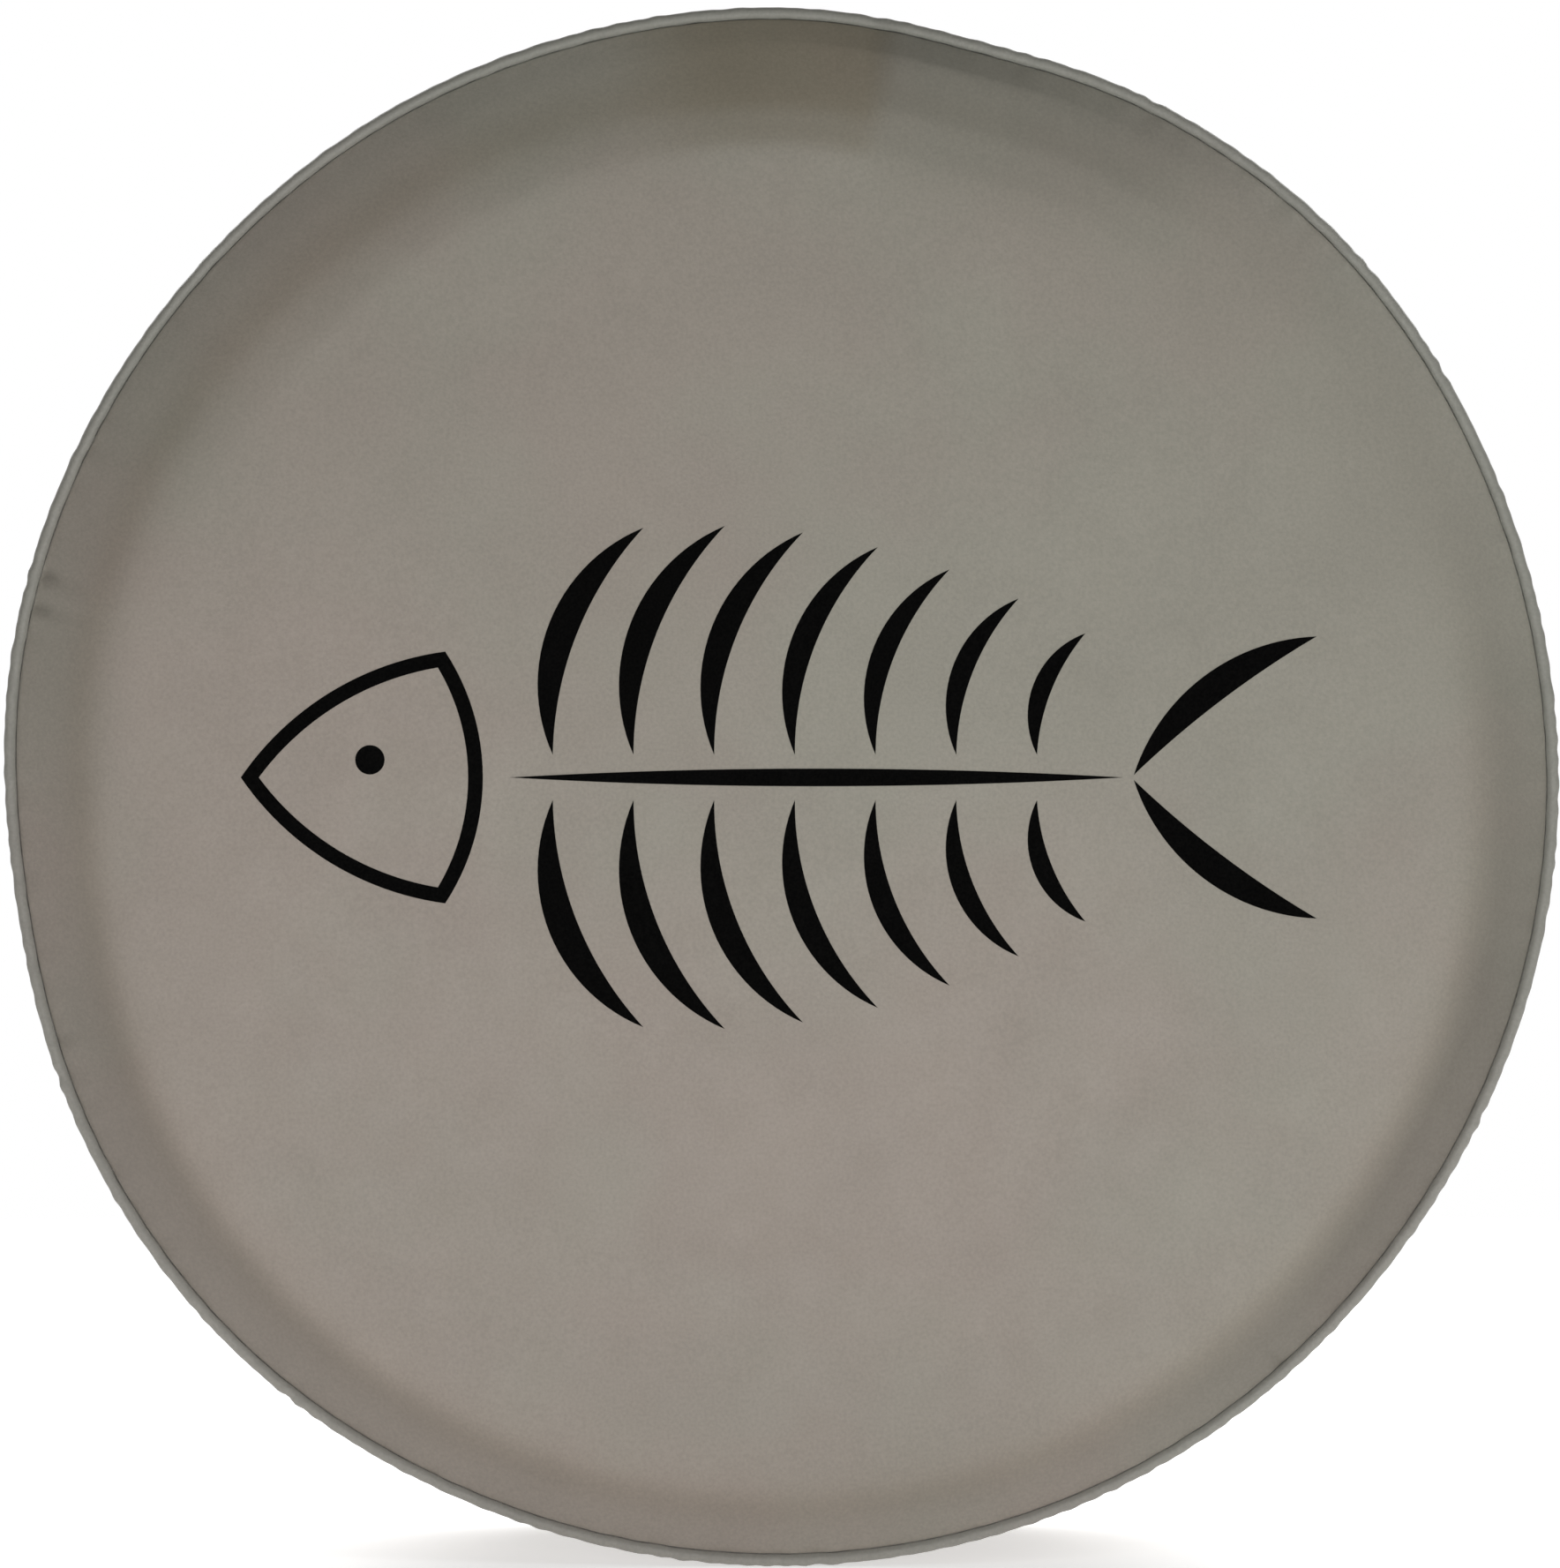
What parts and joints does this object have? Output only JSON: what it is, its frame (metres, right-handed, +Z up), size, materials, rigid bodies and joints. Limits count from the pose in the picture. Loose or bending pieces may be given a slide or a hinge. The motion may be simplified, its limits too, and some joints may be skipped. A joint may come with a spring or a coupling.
{
  "type": "spare tire cover",
  "caption": "Round soft vinyl cover for a spare tyre, with a piped front seam, a printed fish bone on the face, a side band and an elastic hem behind.",
  "frame": {"origin": "centre of the seat for the tyre, on the cover's axis, half way through the tyre's width", "axes": "+Y along the tyre's axis from the printed face to the open back, +Z up with the drain eyelets at the bottom, +X to the right as the face is looked at"},
  "size_m": [0.7474, 0.25, 0.7474],
  "materials": {
    "vinyl": "matte",
    "piping": "satin",
    "cord_core": "satin",
    "tape": "matte",
    "elastic": "matte",
    "metal": "satin",
    "label": "matte",
    "thread": "satin",
    "ink": "satin"
  },
  "bodies": {
    "root": {"face_panel": "vinyl", "band_right_panel": "vinyl", "band_left_panel": "vinyl", "hem_casing": "vinyl", "welt_cover": "piping", "welt_cord": "cord_core", "join_tape_top": "tape", "join_tape_bottom": "tape", "seam_binding": "tape", "elastic_cord": "elastic", "elastic_crimp": "metal", "lock_tab_left": "vinyl", "lock_tab_right": "vinyl", "lock_eyelets": "metal", "lock_washers": "metal", "drain_eyelets": "metal", "drain_washers": "metal", "care_label": "label", "seam_stitches": "thread", "hem_stitches": "thread", "join_stitches": "thread", "tab_stitches": "thread", "fish_print": "ink"}
  },
  "joints": []
}
